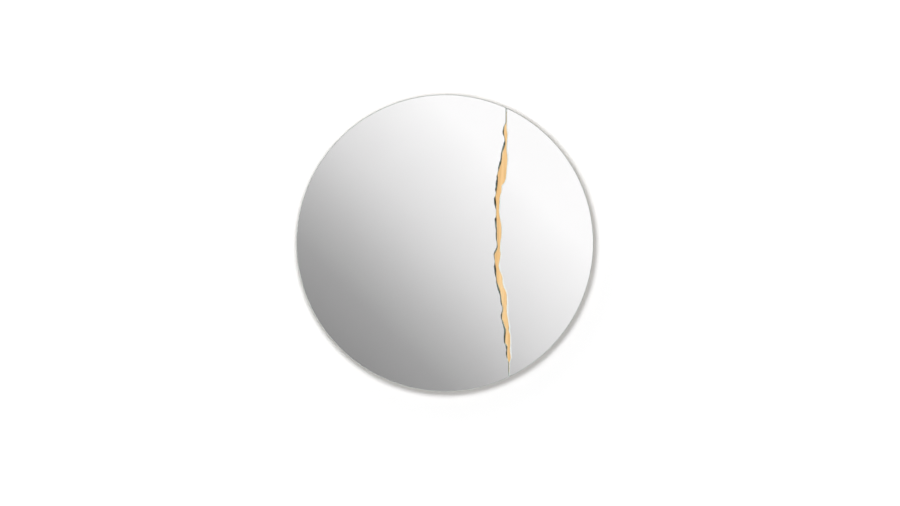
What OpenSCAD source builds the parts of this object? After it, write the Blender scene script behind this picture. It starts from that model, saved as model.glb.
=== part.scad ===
// Frameless round wall mirror, broken in two from rim to rim.
// Both panes of silvered glass are bonded to one plywood board, whose face shows through the break.
// Every piece is drawn flat with the glass up, and stand() then sets it upright:
// X is to the right, Z is up, and the glass faces -Y. The origin is the middle of the whole mirror.

/* [Mirror glass] */
// Diameter of the glass disc
mirror_d = 600; // [500:10:750]
// Thickness of the silvered float glass
glass_t = 5; // [4:0.5:8]
// Width of the ground arris round both edges of the rim
arris_w = 0.8; // [0.3:0.1:1.5]

/* [Break] */
// Distance of the break's line from the middle of the disc
break_x = 115; // [80:5:140]
// Length of the straight fine crack at each end of the break
crack_l = 30; // [20:1:45]
// Width of the fine cracks at the back of the glass
crack_w = 0.6; // [0.4:0.1:2]
// Widest slope of the large pane's broken face, measured across the break
large_slope_w = 5.2; // [2:0.1:6]
// Widest slope of the small pane's broken face, measured across the break
small_slope_w = 3.6; // [2:0.1:4.5]
// Slope of the chipped edges along the fine cracks, measured across the break
crack_slope_w = 1.6; // [0.4:0.1:2]

/* [Backing board] */
// Thickness of the plywood board
board_t = 15; // [13:0.5:24]
// How far the glass overhangs the board all round
overhang = 8; // [3:1:20]
// Chamfer round the board's back edge
board_chamfer = 2; // [0.5:0.5:5]

/* [Bonding tape] */
// Thickness of the double-sided foam tape
tape_t = 1; // [0.5:0.1:3]
// Width of the tape
tape_w = 25; // [12:1:30]
// Clear distance from the tape to the break and to the board's edge
tape_clear = 10; // [6:1:12]

/* [Keyhole plates] */
// Distance between the two keyholes
hanger_pitch = 240; // [160:10:300]
// Height of the entry holes above the middle of the mirror
hanger_y = 130; // [80:5:150]
// Thickness of a plate
plate_t = 2; // [1.6:0.2:3]
// Width of a plate
plate_w = 20; // [18:1:26]
// Distance between a plate's two screws
screw_pitch = 46; // [44:1:60]
// Diameter of the entry hole, which a wall screw's head passes
entry_d = 10; // [8:0.5:11]
// Width of the slot that the wall screw's shank slides up
neck_w = 5; // [3.5:0.5:5]
// How far the wall screw slides up from the entry hole's centre
neck_rise = 11; // [8:1:12]
// Depth of the pocket that takes the wall screw's head, under the plate
pocket_depth = 8; // [5:0.5:9]

/* [Plate screws] */
// Diameter of the countersunk head
head_d = 7; // [6:0.5:8]
// Diameter of the shank inside the thread
shank_d = 2.6; // [2:0.1:3]
// Whole length of a screw
screw_l = 12; // [9:1:13]

/* [Wall bumpers] */
// Diameter of a rubber bumper
bumper_d = 16; // [10:1:24]
// Thickness of a bumper
bumper_t = 3; // [2:0.5:5]
// Distance from the bumper's centre to the board's edge
bumper_edge = 32; // [20:1:50]

/* [Hidden] */

$fn = 96;
LEFT = -1;
RIGHT = 1;
UPPER = 1;
LOWER = -1;

// Running room between a screw and its hole, and between a plate and its recess, on each side.
hole_clear = 0.05;
recess_clear = 0.2;
// What a cutter or an outline reaches past the solid that it shapes.
spare = 1;

mirror_r = mirror_d / 2;
board_r = mirror_r - overhang;

// The layers from the wall to the glass, by the height of each one's back face.
stack_t = bumper_t + board_t + tape_t + glass_t;
bumper_z = -stack_t / 2;
board_z = bumper_z + bumper_t;
tape_z = board_z + board_t;
glass_z = tape_z + tape_t;

// The middle of each fine crack, to the right of the break's line.
upper_crack_off = 9;
lower_crack_off = 14.5;

// The ragged front edge of each pane, from the upper crack down to the lower one. Each point is
// [height in percent of the way from the middle to that crack, distance to the right of the break's line].
large_edge = [
    [97, 3], [93, 0.5], [90, 1], [87, 3.5], [83, 3], [80, 0.5], [74, -2.5], [70, -3], [66, -6.5],
    [62, -9.5], [58, -11], [53, -11.5], [50, -13.5], [43, -14.5], [40, -15], [37, -17], [33, -16.5],
    [30, -14.5], [23, -14], [20, -15.5], [16, -15], [11, -12.5], [2, -13], [-3, -13], [-7, -15],
    [-9, -17.5], [-17, -17.5], [-22, -16.5], [-27, -14.5], [-32, -13], [-36, -11], [-40, -8.5],
    [-43, -5], [-50, -3], [-56, -2], [-59, -3.5], [-63, -2.5], [-69, 1.5], [-73, 3.5], [-80, 3],
    [-84, 4], [-86, 7], [-93, 7], [-97, 9.5]
];
small_edge = [
    [97, 11], [93, 12.5], [91, 13.5], [87, 12], [78, 12], [71, 14.5], [64, 12], [54, 10], [50, 8],
    [48, 2], [43, 1], [39, -2], [31, -2], [25, -3.5], [20, -2], [15, 1.5], [9, 2.5], [5, 1], [1, -1.5],
    [-6, -1], [-9, 0.5], [-13, -2], [-16, -3.5], [-20, -3.5], [-24, -1], [-28, 2.5], [-33, 4], [-37, 6.5],
    [-40, 10], [-44, 11.5], [-50, 13], [-58, 13], [-63, 13.5], [-67, 15], [-70, 17.5], [-73, 16],
    [-77, 18.5], [-84, 19], [-92, 19], [-96, 20], [-98, 18.5]
];

// The broken face through the glass: [height in the glass, share of the slope that is passed].
// The front half flakes away at a low angle, and the back half breaks almost square.
shell_share = 0.7;
fracture_levels = [
    [glass_t + spare, 0], [glass_t, 0], [glass_t * 0.5, shell_share], [0, 1], [-spare, 1]
];

// Height of a point that lies some percent of the way up or down the break.
function crack_start(off) = sqrt(mirror_r * mirror_r - pow(break_x + off, 2)) - crack_l;
function break_y(percent) =
    percent / 100 * (percent > 0 ? crack_start(upper_crack_off) : crack_start(lower_crack_off));

// The slope's width changes from point to point, and dies away into the fine cracks.
slope_mean = 0.75;
slope_turn = 97;
slope_fade = 12;
function uneven_slope(side, i) =
    (side == LEFT ? large_slope_w : small_slope_w) * (slope_mean + (1 - slope_mean) * sin(i * slope_turn));
function slope_at(side, i, percent) =
    crack_slope_w + (uneven_slope(side, i) - crack_slope_w) * min(1, (100 - abs(percent)) / slope_fade);

// All points of a pane's edge as [height, distance from the middle of the disc, width of the slope].
// side is LEFT for the pane left of the break, and RIGHT for the other.
function crack_edge(off, side) = break_x + off + side * (crack_w / 2 + crack_slope_w);
function edge_stations(edge, side) = concat(
    [
        [mirror_r + spare, crack_edge(upper_crack_off, side), crack_slope_w],
        [crack_start(upper_crack_off), crack_edge(upper_crack_off, side), crack_slope_w]
    ],
    [for (i = [0 : len(edge) - 1])
        [break_y(edge[i][0]), break_x + edge[i][1], slope_at(side, i, edge[i][0])]],
    [
        [-crack_start(lower_crack_off), crack_edge(lower_crack_off, side), crack_slope_w],
        [-mirror_r - spare, crack_edge(lower_crack_off, side), crack_slope_w]
    ]
);

// One level of the block that a pane is cut from: the ragged edge, and two corners past the rim.
function level_outline(stations, side, level) = concat(
    [for (s = stations) [s[1] - side * s[2] * level[1], s[0], level[0]]],
    [
        [side * (mirror_r + spare), -mirror_r - spare, level[0]],
        [side * (mirror_r + spare), mirror_r + spare, level[0]]
    ]
);

// A block with one ragged, sloping side, made of the fracture's levels joined one to the next.
module ragged_block(edge, side) {
    stations = edge_stations(edge, side);
    n = len(stations) + 2;
    last = len(fracture_levels) - 1;
    points = [for (level = fracture_levels) each level_outline(stations, side, level)];
    walls = [for (k = [0 : last - 1], i = [0 : n - 1])
        let (j = (i + 1) % n, up = k * n, down = (k + 1) * n)
        each [[up + i, up + j, down + j], [up + i, down + j, down + i]]];
    caps = [[for (i = [n - 1 : -1 : 0]) i], [for (i = [0 : n - 1]) last * n + i]];
    faces = concat(walls, caps);
    polyhedron(points, side == LEFT ? faces : [for (f = faces) [for (i = [len(f) - 1 : -1 : 0]) f[i]]]);
}

// Turns the mirror from lying glass up to standing with the glass towards -Y.
module stand() {
    rotate([90, 0, 0]) children();
}

module glass_disc() {
    rotate_extrude()
        polygon([
            [0, 0], [mirror_r - arris_w, 0], [mirror_r, arris_w],
            [mirror_r, glass_t - arris_w], [mirror_r - arris_w, glass_t], [0, glass_t]
        ]);
}

module pane(edge, side) {
    color("lightsteelblue")
        stand()
            translate([0, 0, glass_z])
                intersection() {
                    glass_disc();
                    ragged_block(edge, side);
                }
}

// A slot with round ends, standing along Y from y0 to y1.
module round_slot(y0, y1, width, height) {
    translate([-width / 2, y0, 0]) cube([width, y1 - y0, height]);
    for (y = [y0, y1]) translate([0, y, 0]) cylinder(d = width, h = height);
}

// The plate's two screws stand evenly about its keyhole.
plate_mid_y = neck_rise / 2;
function screw_y(place) = plate_mid_y + place * screw_pitch / 2;

module at_hanger(side) {
    translate([side * hanger_pitch / 2, hanger_y, board_z]) children();
}

// The room for a wall screw's head: from the entry hole to the top of the neck.
head_room_w = entry_d + 2;

module hanger_cutters() {
    translate([0, 0, -spare])
        round_slot(
            screw_y(LOWER), screw_y(UPPER), plate_w + 2 * recess_clear, plate_t + spare
        );
    translate([0, 0, plate_t - spare])
        round_slot(0, neck_rise, head_room_w, pocket_depth + spare);
    for (place = [LOWER, UPPER])
        translate([0, screw_y(place), 0])
            cylinder(d = shank_d + 2 * hole_clear, h = screw_l + hole_clear);
}

module backing_board() {
    color("burlywood")
        stand()
            difference() {
                translate([0, 0, board_z])
                    rotate_extrude()
                        polygon([
                            [0, 0], [board_r - board_chamfer, 0], [board_r, board_chamfer],
                            [board_r, board_t], [0, board_t]
                        ]);
                for (side = [LEFT, RIGHT]) at_hanger(side) hanger_cutters();
            }
}

// How many strips hold each pane. They stand evenly across it, clear of the break and the edge.
large_tapes = 5;
small_tapes = 2;
large_reach = [tape_clear * 3 - board_r, break_x + min([for (p = large_edge) p[1]]) - tape_clear];
small_reach = [break_x + max([for (p = small_edge) p[1]]) + tape_clear, board_r - tape_clear * 2];

module tape(reach, count, i) {
    step = (reach[1] - reach[0] - tape_w) / (count - 1);
    x = reach[0] + tape_w / 2 + step * i;
    half = sqrt(pow(board_r - tape_clear, 2) - pow(abs(x) + tape_w / 2, 2));
    color("whitesmoke")
        stand()
            translate([x - tape_w / 2, -half, tape_z])
                cube([tape_w, half * 2, tape_t]);
}

// The screw head's taper runs from its full width down to the shank, just under the plate's face.
head_t = plate_t * 0.8;
head_sink = 0.1;

module countersink() {
    translate([0, 0, -spare]) cylinder(d = head_d + 2 * hole_clear, h = spare + head_sink);
    translate([0, 0, head_sink])
        cylinder(d1 = head_d + 2 * hole_clear, d2 = shank_d + 2 * hole_clear, h = head_t);
    cylinder(d = shank_d + 2 * hole_clear, h = plate_t + spare);
}

module keyhole_plate(side) {
    color("silver")
        stand()
            at_hanger(side)
                difference() {
                    round_slot(screw_y(LOWER), screw_y(UPPER), plate_w, plate_t);
                    translate([0, 0, -spare]) cylinder(d = entry_d, h = plate_t + 2 * spare);
                    translate([0, 0, -spare]) round_slot(0, neck_rise, neck_w, plate_t + 2 * spare);
                    for (place = [LOWER, UPPER]) translate([0, screw_y(place), 0]) countersink();
                }
}

// The cross in the head, and the screw's point.
cross_l = 3.6;
cross_w = 0.8;
cross_depth = 1.3;
tip_l = 2;
tip_d = 0.4;

module plate_screw(side, place) {
    color("goldenrod")
        stand()
            at_hanger(side)
                translate([0, screw_y(place), head_sink])
                    difference() {
                        union() {
                            cylinder(d1 = head_d, d2 = shank_d, h = head_t);
                            cylinder(d = shank_d, h = screw_l - tip_l - head_sink);
                            translate([0, 0, screw_l - tip_l - head_sink])
                                cylinder(d1 = shank_d, d2 = tip_d, h = tip_l);
                        }
                        for (turn = [0, 90])
                            rotate([0, 0, turn])
                                translate([-cross_l / 2, -cross_w / 2, -spare])
                                    cube([cross_l, cross_w, cross_depth + spare]);
                    }
}

bumper_round = 0.8;

module wall_bumper(quarter) {
    reach = board_r - bumper_edge;
    angle = 45 + 90 * quarter;
    color("gray")
        stand()
            translate([reach * cos(angle), reach * sin(angle), bumper_z])
                rotate_extrude()
                    polygon([
                        [0, 0], [bumper_d / 2 - bumper_round, 0], [bumper_d / 2, bumper_round],
                        [bumper_d / 2, bumper_t], [0, bumper_t]
                    ]);
}

pane(large_edge, LEFT);  // large_pane
pane(small_edge, RIGHT);  // small_pane
backing_board();
tape(large_reach, large_tapes, 0);  // large_pane_tape_1
tape(large_reach, large_tapes, 1);  // large_pane_tape_2
tape(large_reach, large_tapes, 2);  // large_pane_tape_3
tape(large_reach, large_tapes, 3);  // large_pane_tape_4
tape(large_reach, large_tapes, 4);  // large_pane_tape_5
tape(small_reach, small_tapes, 0);  // small_pane_tape_1
tape(small_reach, small_tapes, 1);  // small_pane_tape_2
keyhole_plate(LEFT);  // keyhole_plate_left
keyhole_plate(RIGHT);  // keyhole_plate_right
plate_screw(LEFT, UPPER);  // plate_screw_left_upper
plate_screw(LEFT, LOWER);  // plate_screw_left_lower
plate_screw(RIGHT, UPPER);  // plate_screw_right_upper
plate_screw(RIGHT, LOWER);  // plate_screw_right_lower
wall_bumper(0);  // wall_bumper_1
wall_bumper(1);  // wall_bumper_2
wall_bumper(2);  // wall_bumper_3
wall_bumper(3);  // wall_bumper_4
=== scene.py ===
import math

import bmesh
import bpy
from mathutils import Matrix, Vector, noise


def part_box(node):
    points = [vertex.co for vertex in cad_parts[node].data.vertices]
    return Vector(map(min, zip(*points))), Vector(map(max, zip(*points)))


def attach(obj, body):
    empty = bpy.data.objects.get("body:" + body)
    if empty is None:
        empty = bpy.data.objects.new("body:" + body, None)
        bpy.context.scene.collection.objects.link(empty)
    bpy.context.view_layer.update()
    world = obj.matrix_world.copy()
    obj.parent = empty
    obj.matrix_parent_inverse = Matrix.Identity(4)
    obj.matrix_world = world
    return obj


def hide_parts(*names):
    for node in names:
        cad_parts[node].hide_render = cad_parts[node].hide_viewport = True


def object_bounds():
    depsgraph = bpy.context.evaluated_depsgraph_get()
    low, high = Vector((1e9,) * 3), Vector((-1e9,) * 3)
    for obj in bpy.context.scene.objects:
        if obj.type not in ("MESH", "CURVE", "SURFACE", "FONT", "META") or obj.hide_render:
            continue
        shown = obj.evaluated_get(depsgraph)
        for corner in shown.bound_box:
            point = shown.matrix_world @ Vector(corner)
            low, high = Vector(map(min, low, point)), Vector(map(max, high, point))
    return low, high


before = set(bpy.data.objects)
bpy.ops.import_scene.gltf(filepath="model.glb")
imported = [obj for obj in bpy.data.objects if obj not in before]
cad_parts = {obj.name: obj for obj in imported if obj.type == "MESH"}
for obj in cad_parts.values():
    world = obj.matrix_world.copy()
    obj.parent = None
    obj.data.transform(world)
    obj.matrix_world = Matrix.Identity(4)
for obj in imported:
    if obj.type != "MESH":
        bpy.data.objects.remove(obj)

cad_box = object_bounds()

# ---------------------------------------------------------------------------------------------
# The two panes of glass
# One disc of 5 mm float glass with a finely ground rim. It broke along one line from rim to
# rim, into a large pane and a small one. Both ends of the break are fine straight cracks, and
# between them a long sliver fell out. The glass flaked away at the front and broke square behind.

MM = 0.001
LEFT = -1
RIGHT = 1

large_low, large_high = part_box("large_pane")
small_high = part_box("small_pane")[1]
mirror_r = (small_high.x - large_low.x) / 2
glass_front = large_low.y
pane_back = large_high.y
ARRIS_W = 0.8 * MM
PAST_RIM = 10 * MM
# The coat on the glass's back takes up the last part of a pane's thickness.
COAT_T = 0.08 * MM
COAT_GAP = 0.01 * MM
glass_back = pane_back - COAT_T - 2 * COAT_GAP
glass_t = glass_back - glass_front


def deselect_all():
    """Leaves nothing selected and nothing active, ready for the next piece."""
    if bpy.context.object and bpy.context.object.mode != "OBJECT":
        bpy.ops.object.mode_set(mode="OBJECT")
    bpy.ops.object.select_all(action="DESELECT")


def work_on(piece):
    """Makes a piece the only one that operators act on."""
    deselect_all()
    piece.select_set(True)
    bpy.context.view_layer.objects.active = piece


def linear_colour(code):
    """The linear colour of an sRGB hex value."""
    channels = [int(code[i:i + 2], 16) / 255 for i in (1, 3, 5)]
    return [c / 12.92 if c <= 0.04045 else ((c + 0.055) / 1.055) ** 2.4 for c in channels] + [1]


def add_node(tree, kind, settings=None, inputs=None, stops=None):
    """Adds a shader node. An input is a number, a hex colour, a vector or another node's output."""
    node = tree.nodes.new(kind)
    for name, value in (settings or {}).items():
        setattr(node, name, value)
    for name, value in (inputs or {}).items():
        if isinstance(value, bpy.types.NodeSocket):
            tree.links.new(value, node.inputs[name])
        elif isinstance(value, str):
            node.inputs[name].default_value = linear_colour(value)
        else:
            node.inputs[name].default_value = value
    if stops:
        elements = node.color_ramp.elements
        while len(elements) < len(stops):
            elements.new(0.5)
        for element, (place, colour) in zip(elements, stops):
            element.position = place
            element.color = linear_colour(colour) if isinstance(colour, str) else [colour] * 3 + [1]
    return node


def new_material(name):
    """An empty node material, and its tree."""
    material = bpy.data.materials.new(name)
    material.use_nodes = True
    material.node_tree.nodes.clear()
    return material, material.node_tree


# Clear soda-lime float glass: colourless through 5 mm, and green when seen along the sheet.
GLASS_TINT = "#89E7C0"
GLASS_DENSITY = 9.0
GLASS_IOR = 1.52
# A face whose normal's Y is over this is flat: the front or the back of the sheet.
FLAT_FROM = 0.999
# The rim's arris isn't broken glass, though it slopes too.
RIM_ZONE = 3 * MM
broken_r = mirror_r - RIM_ZONE

# Float glass. Its flat faces are fire-finished and perfectly smooth, with a breath of dust in
# patches. The broken face is mirror-smooth in places and misted in others, with fine ripples.
# The rim is finely ground, so it scatters light and is pale and satin.
RIM_ROUGHNESS = 0.4
RIM_CLEAR_SHARE = 0.4
glass, tree = new_material("float_glass")
place = add_node(tree, "ShaderNodeTexCoord").outputs["Object"]
apart = add_node(tree, "ShaderNodeSeparateXYZ", inputs={"Vector": place})
level_place = add_node(
    tree, "ShaderNodeCombineXYZ", inputs={"X": apart.outputs["X"], "Z": apart.outputs["Z"]}
)
from_middle = add_node(
    tree, "ShaderNodeVectorMath", settings={"operation": "LENGTH"},
    inputs={0: level_place.outputs[0]},
)
inside = add_node(
    tree, "ShaderNodeMath", settings={"operation": "LESS_THAN"},
    inputs={0: from_middle.outputs["Value"], 1: broken_r},
)
facing = add_node(tree, "ShaderNodeSeparateXYZ", inputs={
    "Vector": add_node(tree, "ShaderNodeNewGeometry").outputs["True Normal"],
})
flat = add_node(
    tree, "ShaderNodeMath", settings={"operation": "ABSOLUTE"}, inputs={0: facing.outputs["Y"]}
)
sloping = add_node(
    tree, "ShaderNodeMath", settings={"operation": "LESS_THAN"},
    inputs={0: flat.outputs[0], 1: FLAT_FROM},
)
broken = add_node(
    tree, "ShaderNodeMath", settings={"operation": "MULTIPLY"},
    inputs={0: inside.outputs[0], 1: sloping.outputs[0]},
)
dust = add_node(
    tree, "ShaderNodeTexNoise", inputs={"Vector": place, "Scale": 1 / (60 * MM), "Detail": 3.0}
)
dusty = add_node(
    tree, "ShaderNodeMapRange",
    inputs={"Value": dust.outputs["Fac"], "From Min": 0.5, "From Max": 0.75, "To Max": 0.012},
)
mist = add_node(
    tree, "ShaderNodeTexNoise", inputs={"Vector": place, "Scale": 1 / (9 * MM), "Detail": 3.0}
)
misty = add_node(
    tree, "ShaderNodeMapRange",
    inputs={"Value": mist.outputs["Fac"], "From Min": 0.5, "From Max": 0.75, "To Max": 0.16},
)
rough = add_node(
    tree, "ShaderNodeMix",
    inputs={0: broken.outputs[0], 2: dusty.outputs["Result"], 3: misty.outputs["Result"]},
)
ripples = add_node(
    tree, "ShaderNodeTexNoise", inputs={"Vector": place, "Scale": 1 / (1.6 * MM), "Detail": 1.0}
)
bump = add_node(
    tree, "ShaderNodeBump",
    inputs={"Height": ripples.outputs["Fac"], "Strength": broken.outputs[0], "Distance": 0.12 * MM},
)
rim = add_node(
    tree, "ShaderNodeMath", settings={"operation": "SUBTRACT"},
    inputs={0: sloping.outputs[0], 1: broken.outputs[0]},
)
rough = add_node(
    tree, "ShaderNodeMix", inputs={0: rim.outputs[0], 2: rough.outputs[0], 3: RIM_ROUGHNESS}
)
see_through = add_node(
    tree, "ShaderNodeMapRange",
    inputs={"Value": rim.outputs[0], "To Min": 1.0, "To Max": RIM_CLEAR_SHARE},
)
# Painted light: a broken face is given a green colour that stands in for the green of light which
# has gone far along the sheet, painted greener on the large pane, whose broken face looks right.
to_right = add_node(
    tree, "ShaderNodeMath", settings={"operation": "GREATER_THAN"},
    inputs={0: facing.outputs["X"], 1: 0.0},
)
painted_path_green = add_node(
    tree, "ShaderNodeMix", settings={"data_type": "RGBA"},
    inputs={0: to_right.outputs[0], 6: "#E8F3ED", 7: "#B0D9C5"},
)
# The painted green of light along the sheet goes only on the broken faces.
tone = add_node(
    tree, "ShaderNodeMix", settings={"data_type": "RGBA"},
    inputs={0: broken.outputs[0], 6: "#FFFFFF", 7: painted_path_green.outputs[2]},
)
tone = add_node(
    tree, "ShaderNodeMix", settings={"data_type": "RGBA"},
    inputs={0: rim.outputs[0], 6: tone.outputs[2], 7: "#C4CCC8"},
)
clear = add_node(
    tree, "ShaderNodeBsdfPrincipled",
    inputs={
        "Base Color": tone.outputs[2], "Transmission Weight": see_through.outputs["Result"],
        "IOR": GLASS_IOR, "Roughness": rough.outputs[0], "Normal": bump.outputs["Normal"],
    },
)
tint = add_node(
    tree, "ShaderNodeVolumeAbsorption", inputs={"Color": GLASS_TINT, "Density": GLASS_DENSITY}
)
add_node(
    tree, "ShaderNodeOutputMaterial",
    inputs={"Surface": clear.outputs["BSDF"], "Volume": tint.outputs["Volume"]},
)

# A point of the CAD pane belongs to its break if it lies this far inside the rim's arris. Points
# are at one level through the glass if they are this near to it.
BREAK_INSIDE = 0.3 * MM
LEVEL_SLACK = 0.05 * MM


def break_line(node, level):
    """The broken edge of a pane at one level, as (height, place) from top to bottom."""
    reach = mirror_r - ARRIS_W - BREAK_INSIDE
    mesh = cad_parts[node].data
    found = {
        (round(v.co.z, 5), round(v.co.x, 5))
        for v in mesh.vertices
        if abs(v.co.y - level) < LEVEL_SLACK and math.hypot(v.co.x, v.co.z) < reach
    }
    return sorted(found, reverse=True)


# Glass breaks in curves, so a break line's corners are rounded, up to this far each way.
CORNER_L = 3 * MM


def point_on(line, height):
    """Where a break line is at some height. It runs straight on beyond its ends."""
    if height >= line[0][0]:
        return line[0][1]
    for (upper, a), (lower, b) in zip(line, line[1:]):
        if height >= lower:
            return a + (b - a) * (upper - height) / (upper - lower)
    return line[-1][1]


def from_end(line, height):
    """How far a height lies from the nearer end of a break line."""
    return min(line[0][0] - height, height - line[-1][0])


def place_on(line, height):
    """Where a break line with rounded corners is at some height."""
    near = [height + shift * CORNER_L for shift in (-1, -0.5, 0, 0.5, 1)]
    return sum(point_on(line, h) for h in near) / len(near)


# The noise is nought at whole numbers, so it is read off them.
OFF_GRID = 0.37


def waver(height, step, seed):
    """A smooth random value from -1 to 1 that changes over about one step of height."""
    return noise.noise(Vector((height / step, seed, OFF_GRID)))


# The step along the break at which its shape is worked out.
SAMPLE = 1.25 * MM
# Lengths along the break over which flakes, nibbles and ripples come and go.
FLAKE_L = 13 * MM
NIBBLE_L = 3.2 * MM
RIPPLE_L = 1.9 * MM
# How far each of the last two moves the glass sideways. Nibbles fade towards the back.
NIBBLE_W = 0.55 * MM
NIBBLE_FADE = 0.7
RIPPLE_W = 0.12 * MM
# The large pane's long flakes, from the top of each to its bottom. Between them it broke squarer.
FLAKES_MM = [
    (300, 218), (206, 150), (138, 104), (94, 72), (52, 6),
    (-11, -26), (-44, -68), (-78, -126), (-142, -214), (-219, -300),
]
# How much of the CAD pane's slope is left between flakes, at a flake's very end, and inside one.
SQUARE_SHARE = 0.4
FLAKE_END_SHARE = 0.6
FLAKED_SHARE = 0.85
# The share grows from a flake's end at a rate of one in this length.
FLAKE_END_L = 14 * MM
# The low-angled flake reaches this share of the depth, give or take the spread. How hollow it is
# varies by a spread of its own, over CURVE_L.
SHELL_DEPTH = 0.5
SHELL_SPREAD = 0.4
CURVE_SPREAD = 0.6
CURVE_L = 0.7 * FLAKE_L
# Levels through the thickness, as shares of it. The two outside the glass only help the cut.
DEPTHS = [-0.3, 0, 0.08, 0.18, 0.3, 0.42, 0.55, 0.7, 0.85, 1, 1.3]


def flaked(height):
    """The share of the CAD pane's slope that the large pane has at a height."""
    within = [min(top * MM - height, height - low * MM) for top, low in FLAKES_MM]
    return min(FLAKED_SHARE, max(SQUARE_SHARE, FLAKE_END_SHARE + max(within) / FLAKE_END_L))


def broken_place(lines, side, height, depth, seed):
    """Where a broken face lies at a height and at a share of the depth through the glass."""
    front, middle, back = [place_on(line, height) for line in lines]
    if side == LEFT:
        front = back + (front - back) * flaked(height)
        middle = back + (middle - back) * flaked(height)
    depth = min(max(depth, 0), 1)
    # At its two ends the break is straight and clean, and the flaking grows from there.
    rough = min(1, max(0, from_end(lines[0], height) / FLAKE_L))
    shell = SHELL_DEPTH + SHELL_SPREAD * waver(height, FLAKE_L, seed) * rough
    curve = 1 + CURVE_SPREAD * waver(height, CURVE_L, seed + 5) * rough
    if depth < shell:
        place = front + (middle - front) * (depth / shell) ** curve
    else:
        place = middle + (back - middle) * (depth - shell) / (1 - shell)
    nibble = NIBBLE_W * waver(height, NIBBLE_L, seed + 9) * (1 - NIBBLE_FADE * depth)
    ripple = RIPPLE_W * waver(height + depth * glass_t, RIPPLE_L, seed + 13)
    return place + (nibble + ripple) * rough


def ragged_wall(name, heights, levels, place):
    """A standing sheet whose place across the break is worked out for each height and level."""
    points = [(place(h, i), level, h) for h in heights for i, level in enumerate(levels)]
    n = len(levels)
    faces = [
        (r * n + i, r * n + i + 1, (r + 1) * n + i + 1, (r + 1) * n + i)
        for r in range(len(heights) - 1) for i in range(n - 1)
    ]
    mesh = bpy.data.meshes.new(name)
    mesh.from_pydata(points, [], faces)
    wall = bpy.data.objects.new(name, mesh)
    bpy.context.collection.objects.link(wall)
    return wall


def thicken_past_rim(wall, side):
    """Extrudes a ragged sheet sideways into a closed block that reaches past the rim."""
    work_on(wall)
    bpy.ops.object.mode_set(mode="EDIT")
    bpy.ops.mesh.select_all(action="SELECT")
    far = side * (mirror_r + PAST_RIM)
    bpy.ops.mesh.extrude_region_move()
    bpy.ops.transform.resize(value=(0, 1, 1), center_override=(far, 0, 0))
    bpy.ops.mesh.select_all(action="SELECT")
    bpy.ops.mesh.normals_make_consistent(inside=False)
    bpy.ops.object.mode_set(mode="OBJECT")


DISC_SIDES = 360


def add_disc(name, radius, front, back, rim_ease):
    """A flat disc facing -Y. Both edges of its rim are ground to an arris, unless that is nought."""
    deselect_all()
    bpy.ops.mesh.primitive_cylinder_add(
        vertices=DISC_SIDES, radius=radius, depth=back - front,
        location=(0, (front + back) / 2, 0), rotation=(math.pi / 2, 0, 0),
    )
    bpy.ops.object.transform_apply(location=True, rotation=True, scale=True)
    disc = bpy.context.object
    disc.name = name
    if rim_ease:
        bpy.ops.object.mode_set(mode="EDIT")
        rings = bmesh.from_edit_mesh(disc.data)
        for edge in rings.edges:
            a, b = edge.verts
            edge.select = abs(a.co.y - b.co.y) < LEVEL_SLACK
        rings.select_flush_mode()
        bmesh.update_edit_mesh(disc.data)
        bpy.ops.mesh.bevel(offset=rim_ease, segments=1)
        bpy.ops.object.mode_set(mode="OBJECT")
    return disc


def keep_inside(piece, block):
    """Cuts a piece down to what lies inside a block, and takes the block away."""
    work_on(piece)
    cut = piece.modifiers.new("cut", "BOOLEAN")
    cut.operation = "INTERSECT"
    cut.solver = "EXACT"
    cut.material_mode = "TRANSFER"
    cut.object = block
    bpy.ops.object.modifier_apply(modifier=cut.name)
    bpy.data.objects.remove(block)


def smooth_shade(piece, angle):
    """Smooth shading, with every edge kept crisp where a flat face ends."""
    work_on(piece)
    bpy.ops.object.shade_smooth_by_angle(angle=math.radians(angle))
    shape = bmesh.new()
    shape.from_mesh(piece.data)
    for edge in shape.edges:
        if len({abs(face.normal.y) > FLAT_FROM for face in edge.link_faces}) > 1:
            edge.smooth = False
    shape.to_mesh(piece.data)
    shape.free()


def sample_heights():
    """Heights from just above the top of the rim to just below the bottom."""
    count = math.ceil(2 * (mirror_r + PAST_RIM) / SAMPLE)
    return [mirror_r + PAST_RIM - i * SAMPLE for i in range(count + 1)]


# Broken glass is smooth over corners blunter than this many degrees.
GLASS_SMOOTH = 24
pane_lines = {}
for node, side, seed in [("large_pane", LEFT, 2.0), ("small_pane", RIGHT, 41.0)]:
    lines = [
        break_line(node, glass_front),
        break_line(node, (glass_front + pane_back) / 2),
        break_line(node, pane_back),
    ]
    pane_lines[node] = lines
    block = ragged_wall(
        node + "_break", sample_heights(), [glass_front + d * glass_t for d in DEPTHS],
        lambda height, i: broken_place(lines, side, height, DEPTHS[i], seed),
    )
    thicken_past_rim(block, side)
    pane = add_disc(node + "_glass", mirror_r, glass_front, glass_back, ARRIS_W)
    pane.data.materials.append(glass)
    keep_inside(pane, block)
    smooth_shade(pane, GLASS_SMOOTH)
    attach(pane, "root")
    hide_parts(node)

# ---------------------------------------------------------------------------------------------
# The silver coat and its back paint
# A film of silver on the back of each pane, covered by grey mirror-backing paint. Both stop just
# short of the rim's arris, and along the open break they have flaked away further than the glass.

COAT_MARGIN = 0.85 * MM
FLAKED_MEAN = 0.55 * MM
FLAKED_SPREAD = 0.5 * MM
FLAKED_L = 4 * MM
# Along the two fine cracks the coat held. It flaked where the break is open.
CLOSED_L = 25 * MM
OPEN_L = 34 * MM
LEAST_FLAKED = 0.1 * MM
# The block that cuts the coat reaches this far past it at the front and the back.
CUT_PAST = 1 * MM

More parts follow.
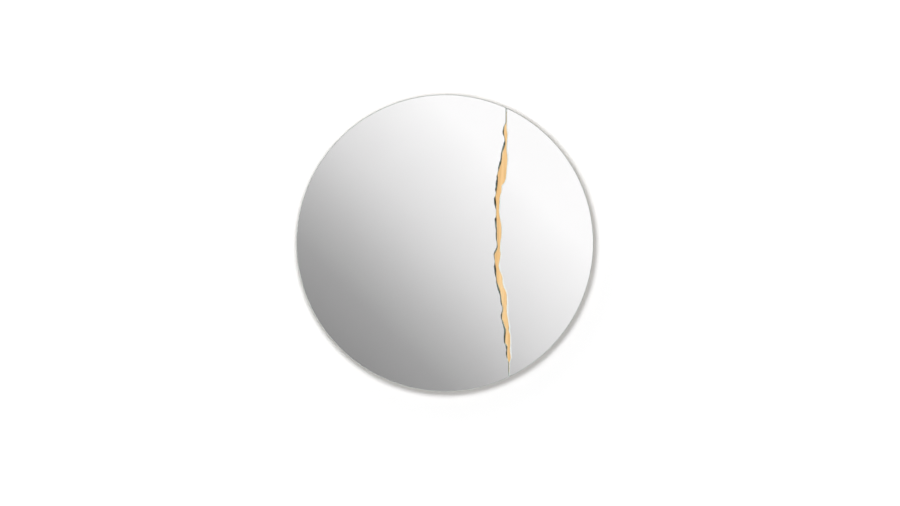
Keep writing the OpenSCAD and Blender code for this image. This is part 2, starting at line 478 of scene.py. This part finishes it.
# Wet-deposited silver: a perfect reflector, just pink enough to undo the glass's green.
silver, tree = new_material("silver")
place = add_node(tree, "ShaderNodeTexCoord").outputs["Object"]
clouds = add_node(
    tree, "ShaderNodeTexNoise", inputs={"Vector": place, "Scale": 1 / (120 * MM), "Detail": 2.0}
)
tone = add_node(
    tree, "ShaderNodeValToRGB", inputs={"Fac": clouds.outputs["Fac"]},
    stops=[(0.35, "#FEF8FB"), (0.65, "#FFF9FC")],
)
metal = add_node(
    tree, "ShaderNodeBsdfPrincipled",
    inputs={"Base Color": tone.outputs["Color"], "Metallic": 1.0, "Roughness": 0.0},
)
add_node(tree, "ShaderNodeOutputMaterial", inputs={"Surface": metal.outputs["BSDF"]})

# Curtain-coated enamel: satin grey that drifts a little in tone, with a slow orange peel.
back_paint, tree = new_material("back_paint")
place = add_node(tree, "ShaderNodeTexCoord").outputs["Object"]
drift = add_node(
    tree, "ShaderNodeTexNoise", inputs={"Vector": place, "Scale": 1 / (45 * MM), "Detail": 4.0}
)
tone = add_node(
    tree, "ShaderNodeValToRGB", inputs={"Fac": drift.outputs["Fac"]},
    stops=[(0.3, "#84898A"), (0.7, "#949998")],
)
peel = add_node(
    tree, "ShaderNodeTexNoise", inputs={"Vector": place, "Scale": 1 / (2.5 * MM), "Detail": 1.0}
)
bump = add_node(
    tree, "ShaderNodeBump", inputs={"Height": peel.outputs["Fac"], "Strength": 0.5, "Distance": 0.1 * MM}
)
rough = add_node(
    tree, "ShaderNodeMapRange", inputs={"Value": drift.outputs["Fac"], "To Min": 0.38, "To Max": 0.55}
)
enamel = add_node(
    tree, "ShaderNodeBsdfPrincipled",
    inputs={
        "Base Color": tone.outputs["Color"], "Roughness": rough.outputs["Result"],
        "Normal": bump.outputs["Normal"],
    },
)
add_node(tree, "ShaderNodeOutputMaterial", inputs={"Surface": enamel.outputs["BSDF"]})

coat_front = glass_back + COAT_GAP
coat_back = coat_front + COAT_T
for node, side, seed in [("large_pane", LEFT, 71.0), ("small_pane", RIGHT, 93.0)]:
    lines = pane_lines[node]

    def coat_edge(height, level):
        """Where the coat ends across the break. It is the same at every level."""
        past_crack = from_end(lines[2], height) - CLOSED_L
        opened = min(1, max(0, past_crack / (OPEN_L - CLOSED_L)))
        lost = (FLAKED_MEAN + FLAKED_SPREAD * waver(height, FLAKED_L, seed)) * opened
        return place_on(lines[2], height) + side * max(lost, LEAST_FLAKED)

    block = ragged_wall(
        node + "_coat_break", sample_heights(), [coat_front - CUT_PAST, coat_back + CUT_PAST], coat_edge
    )
    block.data.materials.append(back_paint)
    thicken_past_rim(block, side)
    coat = add_disc(node + "_coat", mirror_r - COAT_MARGIN, coat_front, coat_back, 0)
    coat.data.materials.append(back_paint)
    coat.data.materials.append(silver)
    keep_inside(coat, block)
    for face in coat.data.polygons:
        if face.normal.y < -FLAT_FROM:
            face.material_index = list(coat.data.materials).index(silver)
    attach(coat, "root")

# ---------------------------------------------------------------------------------------------
# The backing board
# A disc of 15 mm birch plywood, sawn round and sanded, with its back edge chamfered. Its faces
# have upright grain, and its sawn edge and the routed pockets show the plies.

board_low, board_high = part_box("backing_board")
PLIES = 11
# A face whose normal's Y is over this shows face veneer, and the rest show the plies.
VENEER_FROM = 0.9

birch, tree = new_material("birch_plywood")
place = add_node(tree, "ShaderNodeTexCoord").outputs["Object"]
# Sanded birch plywood. Face veneer: long soft streaks, and fine pores along the grain.
along = add_node(tree, "ShaderNodeMapping", inputs={"Vector": place, "Scale": (1, 1, 0.045)})
streaks = add_node(
    tree, "ShaderNodeTexNoise",
    inputs={"Vector": along.outputs["Vector"], "Scale": 1 / (11 * MM), "Detail": 4.0, "Distortion": 0.4},
)
face_tone = add_node(
    tree, "ShaderNodeValToRGB", inputs={"Fac": streaks.outputs["Fac"]},
    stops=[(0.25, "#D6A66C"), (0.45, "#E5BA80"), (0.6, "#EBC48D"), (0.78, "#F2D2A0")],
)
fine = add_node(tree, "ShaderNodeMapping", inputs={"Vector": place, "Scale": (1, 1, 0.03)})
pores = add_node(
    tree, "ShaderNodeTexNoise",
    inputs={"Vector": fine.outputs["Vector"], "Scale": 1 / (0.9 * MM), "Detail": 2.0},
)
pore_depth = add_node(
    tree, "ShaderNodeMapRange",
    inputs={
        "Value": pores.outputs["Fac"], "From Min": 0.28, "From Max": 0.5, "To Min": 0.82,
        "To Max": 1.0,
    },
)
face_colour = add_node(
    tree, "ShaderNodeMix", settings={"data_type": "RGBA", "blend_type": "MULTIPLY"},
    inputs={0: 1.0, 6: face_tone.outputs["Color"], 7: pore_depth.outputs["Result"]},
)
# Sawn edge: veneers by turns end on and side on, with a dark glue line between them.
apart = add_node(tree, "ShaderNodeSeparateXYZ", inputs={"Vector": place})
ply = add_node(
    tree, "ShaderNodeMapRange",
    settings={"clamp": False},
    inputs={
        "Value": apart.outputs["Y"], "From Min": board_low.y, "From Max": board_high.y,
        "To Min": 0.0, "To Max": PLIES / 2,
    },
)
ply_part = add_node(
    tree, "ShaderNodeMath", settings={"operation": "FRACT"}, inputs={0: ply.outputs["Result"]}
)
ply_tone = add_node(
    tree, "ShaderNodeValToRGB", inputs={"Fac": ply_part.outputs["Value"]},
    stops=[
        (0.0, "#A1886B"), (0.05, "#EADCC6"), (0.46, "#EEE1CD"),
        (0.5, "#A1886B"), (0.55, "#CDB698"), (0.95, "#C7AF8F"),
    ],
)
edge_grain = add_node(
    tree, "ShaderNodeTexNoise", inputs={"Vector": place, "Scale": 1 / (0.8 * MM), "Detail": 3.0}
)
edge_shade = add_node(
    tree, "ShaderNodeMapRange",
    inputs={
        "Value": edge_grain.outputs["Fac"], "From Min": 0.3, "From Max": 0.7, "To Min": 0.8,
        "To Max": 1.05,
    },
)
edge_colour = add_node(
    tree, "ShaderNodeMix", settings={"data_type": "RGBA", "blend_type": "MULTIPLY"},
    inputs={0: 1.0, 6: ply_tone.outputs["Color"], 7: edge_shade.outputs["Result"]},
)
facing = add_node(tree, "ShaderNodeSeparateXYZ", inputs={
    "Vector": add_node(tree, "ShaderNodeNewGeometry").outputs["True Normal"],
})
flat = add_node(
    tree, "ShaderNodeMath", settings={"operation": "ABSOLUTE"}, inputs={0: facing.outputs["Y"]}
)
is_face = add_node(
    tree, "ShaderNodeMath", settings={"operation": "GREATER_THAN"},
    inputs={0: flat.outputs[0], 1: VENEER_FROM},
)
wood_colour = add_node(
    tree, "ShaderNodeMix", settings={"data_type": "RGBA"},
    inputs={0: is_face.outputs[0], 6: edge_colour.outputs[2], 7: face_colour.outputs[2]},
)
bump = add_node(
    tree, "ShaderNodeBump",
    inputs={"Height": pores.outputs["Fac"], "Strength": 0.4, "Distance": 0.15 * MM},
)
rough = add_node(
    tree, "ShaderNodeMapRange", inputs={"Value": streaks.outputs["Fac"], "To Min": 0.55, "To Max": 0.75}
)
wood = add_node(
    tree, "ShaderNodeBsdfPrincipled",
    inputs={
        "Base Color": wood_colour.outputs[2], "Roughness": rough.outputs["Result"],
        "Normal": bump.outputs["Normal"],
    },
)
add_node(tree, "ShaderNodeOutputMaterial", inputs={"Surface": wood.outputs["BSDF"]})


def finish_node(node, material):
    """Gives a CAD piece its real finish."""
    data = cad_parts[node].data
    data.materials.clear()
    data.materials.append(material)


finish_node("backing_board", birch)

# ---------------------------------------------------------------------------------------------
# The bonding tape
# Strips of white double-sided polyethylene foam, 1 mm thick, stuck upright between the glass and
# the board. They still hold both panes.

# Closed-cell foam: matt white, with a fine pebbling of cells.
foam, tree = new_material("polyethylene_foam")
place = add_node(tree, "ShaderNodeTexCoord").outputs["Object"]
cells = add_node(tree, "ShaderNodeTexVoronoi", inputs={"Vector": place, "Scale": 1 / (0.6 * MM)})
tone = add_node(
    tree, "ShaderNodeValToRGB", inputs={"Fac": cells.outputs["Distance"]},
    stops=[(0.1, "#F2F2EE"), (0.7, "#DCDCD6")],
)
bump = add_node(
    tree, "ShaderNodeBump",
    inputs={"Height": cells.outputs["Distance"], "Strength": 0.6, "Distance": 0.1 * MM},
)
skin = add_node(
    tree, "ShaderNodeBsdfPrincipled",
    inputs={"Base Color": tone.outputs["Color"], "Roughness": 0.85, "Normal": bump.outputs["Normal"]},
)
add_node(tree, "ShaderNodeOutputMaterial", inputs={"Surface": skin.outputs["BSDF"]})
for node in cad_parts:
    if "_pane_tape_" in node:
        finish_node(node, foam)

# ---------------------------------------------------------------------------------------------
# The keyhole plates
# Two hangers stamped from 2 mm steel and bright zinc plated, let in flush with the board's back.
# Stamping leaves their upper edges slightly rounded, and the plating a faint spangle.

PLATE_EASE = 0.25 * MM

# Rolled steel under bright zinc: a faint spangle, and fine upright rolling lines in its shine.
zinc, tree = new_material("bright_zinc_plated_steel")
place = add_node(tree, "ShaderNodeTexCoord").outputs["Object"]
spangle = add_node(tree, "ShaderNodeTexVoronoi", inputs={"Vector": place, "Scale": 1 / (1.4 * MM)})
tone = add_node(
    tree, "ShaderNodeMix", settings={"data_type": "RGBA"},
    inputs={0: spangle.outputs["Distance"], 6: "#C9CCCF", 7: "#B3B8BE"},
)
along = add_node(tree, "ShaderNodeMapping", inputs={"Vector": place, "Scale": (1, 1, 0.05)})
rolled = add_node(
    tree, "ShaderNodeTexNoise",
    inputs={"Vector": along.outputs["Vector"], "Scale": 1 / (0.4 * MM), "Detail": 3.0},
)
rough = add_node(
    tree, "ShaderNodeMapRange", inputs={"Value": rolled.outputs["Fac"], "To Min": 0.22, "To Max": 0.42}
)
bump = add_node(
    tree, "ShaderNodeBump",
    inputs={"Height": rolled.outputs["Fac"], "Strength": 0.25, "Distance": 0.03 * MM},
)
metal = add_node(
    tree, "ShaderNodeBsdfPrincipled",
    inputs={
        "Base Color": tone.outputs[2], "Metallic": 1.0, "Roughness": rough.outputs["Result"],
        "Normal": bump.outputs["Normal"],
    },
)
add_node(tree, "ShaderNodeOutputMaterial", inputs={"Surface": metal.outputs["BSDF"]})

EASE_STEPS = 3
# Points of a CAD mesh closer than this are one.
MERGE_WITHIN = 0.002 * MM
# In degrees: triangles this level with each other are one face, corners sharper than this are
# eased, and those blunter than this are shaded smooth.
LEVEL_WITHIN = 1
EASE_OVER = 40
SMOOTH_UNDER = 35


def eased_copy(node, width, material):
    """A copy of a CAD piece with its sharp edges rounded over, which is shown in its place."""
    piece = bpy.data.objects.new(node + "_eased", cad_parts[node].data.copy())
    bpy.context.collection.objects.link(piece)
    work_on(piece)
    bpy.ops.mesh.customdata_custom_splitnormals_clear()
    bpy.ops.object.mode_set(mode="EDIT")
    bpy.ops.mesh.select_all(action="SELECT")
    bpy.ops.mesh.remove_doubles(threshold=MERGE_WITHIN)
    bpy.ops.mesh.dissolve_limited(angle_limit=math.radians(LEVEL_WITHIN))
    bpy.ops.object.mode_set(mode="OBJECT")
    ease = piece.modifiers.new("ease", "BEVEL")
    ease.limit_method = "ANGLE"
    ease.angle_limit = math.radians(EASE_OVER)
    ease.width = width
    ease.segments = EASE_STEPS
    bpy.ops.object.modifier_apply(modifier=ease.name)
    bpy.ops.object.shade_smooth_by_angle(angle=math.radians(SMOOTH_UNDER))
    piece.data.materials.clear()
    piece.data.materials.append(material)
    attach(piece, "root")
    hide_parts(node)


for node in ["keyhole_plate_left", "keyhole_plate_right"]:
    eased_copy(node, PLATE_EASE, zinc)

# ---------------------------------------------------------------------------------------------
# The plate screws
# Countersunk 3.5 x 12 wood screws with a cross recess, in yellow-passivated zinc. Two hold each
# plate to the board.

# Yellow passivate over zinc: gold that drifts towards pale green and rose.
yellow_zinc, tree = new_material("yellow_zinc")
place = add_node(tree, "ShaderNodeTexCoord").outputs["Object"]
stain = add_node(
    tree, "ShaderNodeTexNoise", inputs={"Vector": place, "Scale": 1 / (2.2 * MM), "Detail": 2.0}
)
tone = add_node(
    tree, "ShaderNodeValToRGB", inputs={"Fac": stain.outputs["Fac"]},
    stops=[(0.35, "#D8B65E"), (0.5, "#C9B878"), (0.65, "#BFA0A0")],
)
metal = add_node(
    tree, "ShaderNodeBsdfPrincipled",
    inputs={"Base Color": tone.outputs["Color"], "Metallic": 1.0, "Roughness": 0.33},
)
add_node(tree, "ShaderNodeOutputMaterial", inputs={"Surface": metal.outputs["BSDF"]})
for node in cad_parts:
    if node.startswith("plate_screw_"):
        finish_node(node, yellow_zinc)

# ---------------------------------------------------------------------------------------------
# The wall bumpers
# Four stick-on discs of moulded grey rubber near the board's rim. They hold it off the wall and
# keep it from sliding.

BUMPER_EASE = 0.3 * MM

# Moulded rubber: matt grey with a fine grain, and dust that clings to it in patches.
rubber, tree = new_material("grey_rubber")
place = add_node(tree, "ShaderNodeTexCoord").outputs["Object"]
grain = add_node(
    tree, "ShaderNodeTexNoise", inputs={"Vector": place, "Scale": 1 / (0.5 * MM), "Detail": 4.0}
)
dust = add_node(
    tree, "ShaderNodeTexNoise", inputs={"Vector": place, "Scale": 1 / (5 * MM), "Detail": 3.0}
)
tone = add_node(
    tree, "ShaderNodeValToRGB", inputs={"Fac": dust.outputs["Fac"]},
    stops=[(0.35, "#8C8C88"), (0.7, "#A3A39D")],
)
bump = add_node(
    tree, "ShaderNodeBump",
    inputs={"Height": grain.outputs["Fac"], "Strength": 0.4, "Distance": 0.05 * MM},
)
skin = add_node(
    tree, "ShaderNodeBsdfPrincipled",
    inputs={"Base Color": tone.outputs["Color"], "Roughness": 0.7, "Normal": bump.outputs["Normal"]},
)
add_node(tree, "ShaderNodeOutputMaterial", inputs={"Surface": skin.outputs["BSDF"]})
for node in ["wall_bumper_1", "wall_bumper_2", "wall_bumper_3", "wall_bumper_4"]:
    eased_copy(node, BUMPER_EASE, rubber)

# ---------------------------------------------------------------------------------------------
# The studio
# A white wall that the mirror hangs on, a pale floor well below, a round lamp in front and a little
# high on the left, a weaker level fill, a soft light for the back, and a board of graded light
# that the mirror reflects.

WALL_W = 5.0
WALL_H = 3.4
FLOOR_DEPTH = 1.2
FLOOR_W = 14.0


def add_board(name, width, height, location, rotation):
    """A flat studio board."""
    deselect_all()
    bpy.ops.mesh.primitive_plane_add(size=1, location=location, rotation=rotation)
    board = bpy.context.object
    board.name = name
    board.scale = (width, height, 1)
    return board


# White emulsion. The wall is there only for the eye in front of it, so the back is lit and seen.
wall_paint, tree = new_material("white_wall")
path = add_node(tree, "ShaderNodeLightPath")
behind = add_node(tree, "ShaderNodeNewGeometry").outputs["Backfacing"]
in_front = add_node(
    tree, "ShaderNodeMath", settings={"operation": "SUBTRACT"}, inputs={0: 1.0, 1: behind}
)
shown = add_node(
    tree, "ShaderNodeMath", settings={"operation": "MULTIPLY"},
    inputs={0: path.outputs["Is Camera Ray"], 1: in_front.outputs[0]},
)
# Away from the mirror it glows a little, as if lit from the sides, so that it is white all over.
SIDE_LIGHT = 0.8
SIDE_START = 0.31
SIDE_FULL = 1.3
place = add_node(tree, "ShaderNodeNewGeometry").outputs["Position"]
from_mirror = add_node(
    tree, "ShaderNodeVectorMath", settings={"operation": "LENGTH"}, inputs={0: place}
)
side_light = add_node(
    tree, "ShaderNodeMapRange",
    inputs={
        "Value": from_mirror.outputs["Value"], "From Min": SIDE_START, "From Max": SIDE_FULL,
        "To Max": SIDE_LIGHT,
    },
)
paint = add_node(tree, "ShaderNodeBsdfDiffuse", inputs={"Color": "#F3F3F3"})
side_glow = add_node(tree, "ShaderNodeEmission", inputs={"Strength": side_light.outputs["Result"]})
lit = add_node(tree, "ShaderNodeAddShader", inputs={0: paint.outputs[0], 1: side_glow.outputs[0]})
clear = add_node(tree, "ShaderNodeBsdfTransparent")
either = add_node(
    tree, "ShaderNodeMixShader", inputs={0: shown.outputs[0], 1: clear.outputs[0], 2: lit.outputs[0]}
)
add_node(tree, "ShaderNodeOutputMaterial", inputs={"Surface": either.outputs[0]})
wall_y = cad_box[1].y
wall = add_board(
    "wall", WALL_W, WALL_H, (0, wall_y, WALL_H / 2 - FLOOR_DEPTH), (math.pi / 2, 0, 0)
)
wall.data.materials.append(wall_paint)

# Pale painted floor, with broad faint clouds.
floor_paint, tree = new_material("pale_floor")
place = add_node(tree, "ShaderNodeTexCoord").outputs["Object"]
clouds = add_node(tree, "ShaderNodeTexNoise", inputs={"Vector": place, "Scale": 3.0})
tone = add_node(
    tree, "ShaderNodeValToRGB", inputs={"Fac": clouds.outputs["Fac"]},
    stops=[(0.3, "#F0F0EE"), (0.7, "#F3F3F1")],
)
paint = add_node(tree, "ShaderNodeBsdfDiffuse", inputs={"Color": tone.outputs["Color"]})
add_node(tree, "ShaderNodeOutputMaterial", inputs={"Surface": paint.outputs[0]})
floor = add_board("floor", FLOOR_W, FLOOR_W, (0, 0, -FLOOR_DEPTH), (0, 0, 0))
floor.data.materials.append(floor_paint)
floor.visible_diffuse = False

# The graded board: white to the upper right, falling to grey at the lower left, and a dark patch
# far out on the left.
GRADE_DISTANCE = 2.5
GRADE_W = 9.0
GRADE_H = 6.0
EYE_DISTANCE = 5.05
# The mirror shows this much of the board, out from the middle.
grade_reach = (1 + GRADE_DISTANCE / EYE_DISTANCE) * mirror_r
# Its white glows this brightly.
BOARD_GLOW = 1.05
DARK_X = -1.45
DARK_R = 1.0
DARK_CORE_R = 0.5
DARK_LEVEL = 0.15
# Its two ends fade into the white round about, between these shares of its width.
FADE_FROM = 0.3
FADE_TO = 0.49
graded, tree = new_material("graded_light")
place = add_node(tree, "ShaderNodeNewGeometry").outputs["Position"]
apart = add_node(tree, "ShaderNodeSeparateXYZ", inputs={"Vector": place})
total = add_node(
    tree, "ShaderNodeMath", settings={"operation": "ADD"},
    inputs={0: apart.outputs["X"], 1: apart.outputs["Z"]},
)
span = grade_reach * math.sqrt(2)
share = add_node(
    tree, "ShaderNodeMapRange",
    inputs={"Value": total.outputs[0], "From Min": -span, "From Max": span},
)
level = add_node(
    tree, "ShaderNodeValToRGB", inputs={"Fac": share.outputs["Result"]},
    stops=[
        (0.0, 0.285), (0.16, 0.365), (0.3, 0.505), (0.43, 0.66), (0.5, 0.735),
        (0.6, 0.82), (0.7, 0.9), (0.83, 1.0),
    ],
)
spot = add_node(
    tree, "ShaderNodeVectorMath", settings={"operation": "DISTANCE"},
    inputs={0: place, 1: (DARK_X, -GRADE_DISTANCE, 0)},
)
shade = add_node(
    tree, "ShaderNodeMapRange",
    settings={"interpolation_type": "SMOOTHSTEP"},
    inputs={
        "Value": spot.outputs["Value"], "From Min": DARK_CORE_R, "From Max": DARK_R,
        "To Min": DARK_LEVEL, "To Max": 1.0,
    },
)
dimmed = add_node(
    tree, "ShaderNodeMath", settings={"operation": "MULTIPLY"},
    inputs={0: level.outputs["Color"], 1: shade.outputs["Result"]},
)
strength = add_node(
    tree, "ShaderNodeMath", settings={"operation": "MULTIPLY"},
    inputs={0: dimmed.outputs[0], 1: BOARD_GLOW},
)
aside = add_node(
    tree, "ShaderNodeMath", settings={"operation": "ABSOLUTE"}, inputs={0: apart.outputs["X"]}
)
faded = add_node(
    tree, "ShaderNodeMapRange",
    settings={"interpolation_type": "SMOOTHSTEP"},
    inputs={
        "Value": aside.outputs[0], "From Min": GRADE_W * FADE_FROM, "From Max": GRADE_W * FADE_TO,
    },
)
strength = add_node(
    tree, "ShaderNodeMix", inputs={0: faded.outputs["Result"], 2: strength.outputs[0], 3: 1.0}
)
glow = add_node(
    tree, "ShaderNodeEmission", inputs={"Color": "#FFFFFF", "Strength": strength.outputs[0]}
)
add_node(tree, "ShaderNodeOutputMaterial", inputs={"Surface": glow.outputs[0]})
grade = add_board(
    "graded_board", GRADE_W, GRADE_H, (0, -GRADE_DISTANCE, 0), (math.pi / 2, 0, 0)
)
grade.data.materials.append(graded)
grade.visible_camera = False
grade.visible_diffuse = False
grade.visible_shadow = False

world = bpy.data.worlds.new("studio")
bpy.context.scene.world = world
world.use_nodes = True
tree = world.node_tree
tree.nodes.clear()
# All round it is white to the eye. It lights the mirror little from the front, where the lamps
# do, and more from behind.
AMBIENT_FRONT = 0.05
AMBIENT_BACK = 0.85
AMBIENT_BLEND = 0.1
path = add_node(tree, "ShaderNodeLightPath")
toward = add_node(tree, "ShaderNodeSeparateXYZ", inputs={
    "Vector": add_node(tree, "ShaderNodeTexCoord").outputs["Generated"],
})
ambient = add_node(
    tree, "ShaderNodeMapRange",
    inputs={
        "Value": toward.outputs["Y"], "From Min": -AMBIENT_BLEND, "From Max": AMBIENT_BLEND,
        "To Min": AMBIENT_FRONT, "To Max": AMBIENT_BACK,
    },
)
seen = add_node(
    tree, "ShaderNodeMath", settings={"operation": "ADD"},
    inputs={0: path.outputs["Is Camera Ray"], 1: path.outputs["Is Glossy Ray"]},
)
seen = add_node(
    tree, "ShaderNodeMath", settings={"operation": "ADD", "use_clamp": True},
    inputs={0: seen.outputs[0], 1: path.outputs["Is Transmission Ray"]},
)
amount = add_node(
    tree, "ShaderNodeMapRange",
    inputs={"Value": seen.outputs[0], "To Min": ambient.outputs["Result"], "To Max": 1.0},
)
sky = add_node(
    tree, "ShaderNodeBackground",
    inputs={"Color": "#FFFFFF", "Strength": amount.outputs["Result"]},
)
add_node(tree, "ShaderNodeOutputWorld", inputs={"Surface": sky.outputs[0]})


def add_sun(name, toward, strength, spread):
    """A distant light that shines along a direction, and spreads over an angle in degrees."""
    data = bpy.data.lights.new(name, "SUN")
    data.energy = strength
    data.angle = math.radians(spread)
    lamp = bpy.data.objects.new(name, data)
    bpy.context.collection.objects.link(lamp)
    lamp.rotation_mode = "QUATERNION"
    lamp.rotation_quaternion = Vector(toward).to_track_quat("-Z", "Y")
    lamp.visible_glossy = False
    lamp.visible_transmission = False


add_sun("fill", toward=(0, 1, 0), strength=1.16, spread=2)
add_sun("rear", toward=(-0.5, -1, -0.9), strength=1.4, spread=30)

# The round lamp. It stands so near that the glass's shadow is larger than the glass, and it is
# given no falloff with distance, so that the wall is evenly lit.
LAMP_DISTANCE = 1.03
LAMP_R = 0.24
LAMP_POWER = 29.5
# How far it stands to the right of the mirror's middle and above it, for each metre of distance.
LAMP_RIGHT = -0.12
LAMP_UP = 0.17
lamp_data = bpy.data.lights.new("lamp", "POINT")
lamp_data.energy = LAMP_POWER
lamp_data.shadow_soft_size = LAMP_R
lamp_data.use_nodes = True
tree = lamp_data.node_tree
tree.nodes.clear()
falloff = add_node(tree, "ShaderNodeLightFalloff", inputs={"Strength": 1.0})
glow = add_node(tree, "ShaderNodeEmission", inputs={"Strength": falloff.outputs["Constant"]})
add_node(tree, "ShaderNodeOutputLight", inputs={"Surface": glow.outputs[0]})
lamp = bpy.data.objects.new("lamp", lamp_data)
bpy.context.collection.objects.link(lamp)
lamp.location = (LAMP_RIGHT * LAMP_DISTANCE, wall_y - LAMP_DISTANCE, LAMP_UP * LAMP_DISTANCE)
lamp.visible_glossy = False
lamp.visible_transmission = False

# The eye looks level at the wall, from just right of the mirror's middle and just below it.
LENS = 100
EYE_RIGHT = 0.0101
EYE_DOWN = 0.0202
eye_data = bpy.data.cameras.new("eye")
eye_data.lens = LENS
eye = bpy.data.objects.new("eye", eye_data)
bpy.context.collection.objects.link(eye)
eye.location = (EYE_RIGHT, glass_front - EYE_DISTANCE, -EYE_DOWN)
eye.rotation_euler = (math.pi / 2, 0, 0)
bpy.context.scene.camera = eye
bpy.context.scene.view_settings.view_transform = "Standard"
